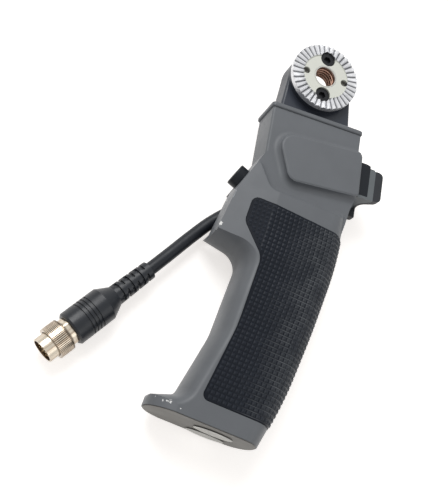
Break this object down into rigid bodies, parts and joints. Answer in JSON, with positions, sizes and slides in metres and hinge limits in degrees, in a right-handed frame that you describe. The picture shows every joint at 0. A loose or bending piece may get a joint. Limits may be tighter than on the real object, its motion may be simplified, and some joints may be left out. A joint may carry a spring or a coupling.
{
  "type": "pistol grip zoom servo controller",
  "caption": "Pistol-grip zoom controller: a hollow handle with a toothed rosette mount, a sprung thumb rocker that turns a potentiometer, a push button and a corded round plug.",
  "frame": {"origin": "centre of the rosette's threaded hole, on the flat face of its hub", "axes": "+Z along the rosette's axis, out of its teeth; +Y up the head, away from the handle; +X toward the thumb rocker. The part lies on its far side."},
  "size_m": [0.1297, 0.1822, 0.0263],
  "materials": {
    "housing": "fine satin grain, moulded",
    "collar": "satin, moulded",
    "grip_rubber": "moulded with fine raised pyramids",
    "bracket_black": "satin dark coating on a cast bracket",
    "rosette_metal": "turned and milled, bright",
    "insert_metal": "threaded bush with a copper tint",
    "black_steel": "black oxide",
    "steel": "ground pin",
    "spring_steel": "spring temper",
    "black_plastic": "moulded, matte",
    "pad_plastic": "moulded, satin",
    "seat_plastic": "moulded, satin",
    "gear_plastic": "moulded acetal",
    "pot_metal": "plated can and shaft",
    "board": "printed board with solder mask",
    "cord_rubber": "smooth jacket",
    "boot_rubber": "moulded boot",
    "plug_nickel": "nickel plate, warm",
    "contact_gold": "gold plate"
  },
  "bodies": {
    "grip": {"near_shell": "housing", "far_shell": "housing", "top_collar": "collar", "base_cap": "housing", "rubber_grip": "grip_rubber", "neck_bracket": "bracket_black", "rosette_disc": "rosette_metal", "thread_insert": "insert_metal", "rosette_screws": "black_steel", "neck_screws": "black_steel", "housing_screws": "black_steel", "rocker_pin": "steel", "centering_spring": "spring_steel", "potentiometer": "pot_metal", "potentiometer_nut": "steel", "button_guide": "gear_plastic", "button_spring": "spring_steel", "record_switch": "black_plastic", "circuit_board": "board", "board_screws": "steel", "board_header": "gear_plastic", "control_chip": "black_plastic", "cord_gland": "boot_rubber", "cord": "cord_rubber", "plug_boot": "boot_rubber", "plug_flange": "plug_nickel", "plug_shell": "plug_nickel", "plug_insert": "black_plastic", "contact_pins": "contact_gold"},
    "rocker": {"rocker_body": "black_plastic", "rocker_seat": "seat_plastic", "rocker_pad": "pad_plastic", "sector_gear": "gear_plastic"},
    "pot_shaft": {"pinion": "gear_plastic"},
    "button": {"record_button": "black_plastic"},
    "plug_ring": {"coupling_ring": "plug_nickel"}
  },
  "joints": [
    {"name": "rocker_swing", "type": "hinge", "parent": "grip", "child": "rocker", "pos_m": [0.0206, -0.042, -0.012], "axis": [0, 1, 0], "range_deg": [-9, 9], "stiffness_Nm_per_rad": 0.06, "deforming": ["centering_spring"]},
    {"name": "pot_turn", "type": "hinge", "parent": "grip", "child": "pot_shaft", "pos_m": [0.0068, -0.045, -0.012], "axis": [0, 1, 0], "range_deg": [-150, 150]},
    {"name": "button_press", "type": "slide", "parent": "grip", "child": "button", "axis": [0.891, -0.454, 0], "range_m": [0, 0.0015], "stiffness_N_per_m": 300, "springref_m": -0.002, "deforming": ["button_spring"]},
    {"name": "ring_turn", "type": "hinge", "parent": "grip", "child": "plug_ring", "pos_m": [-0.085, -0.14073, -0.0181], "axis": [-0.6198, -0.7848, 0], "continuous": true}
  ],
  "couplings": [
    {"joint": "pot_turn", "follows": "rocker_swing", "ratio": -2.8333}
  ]
}
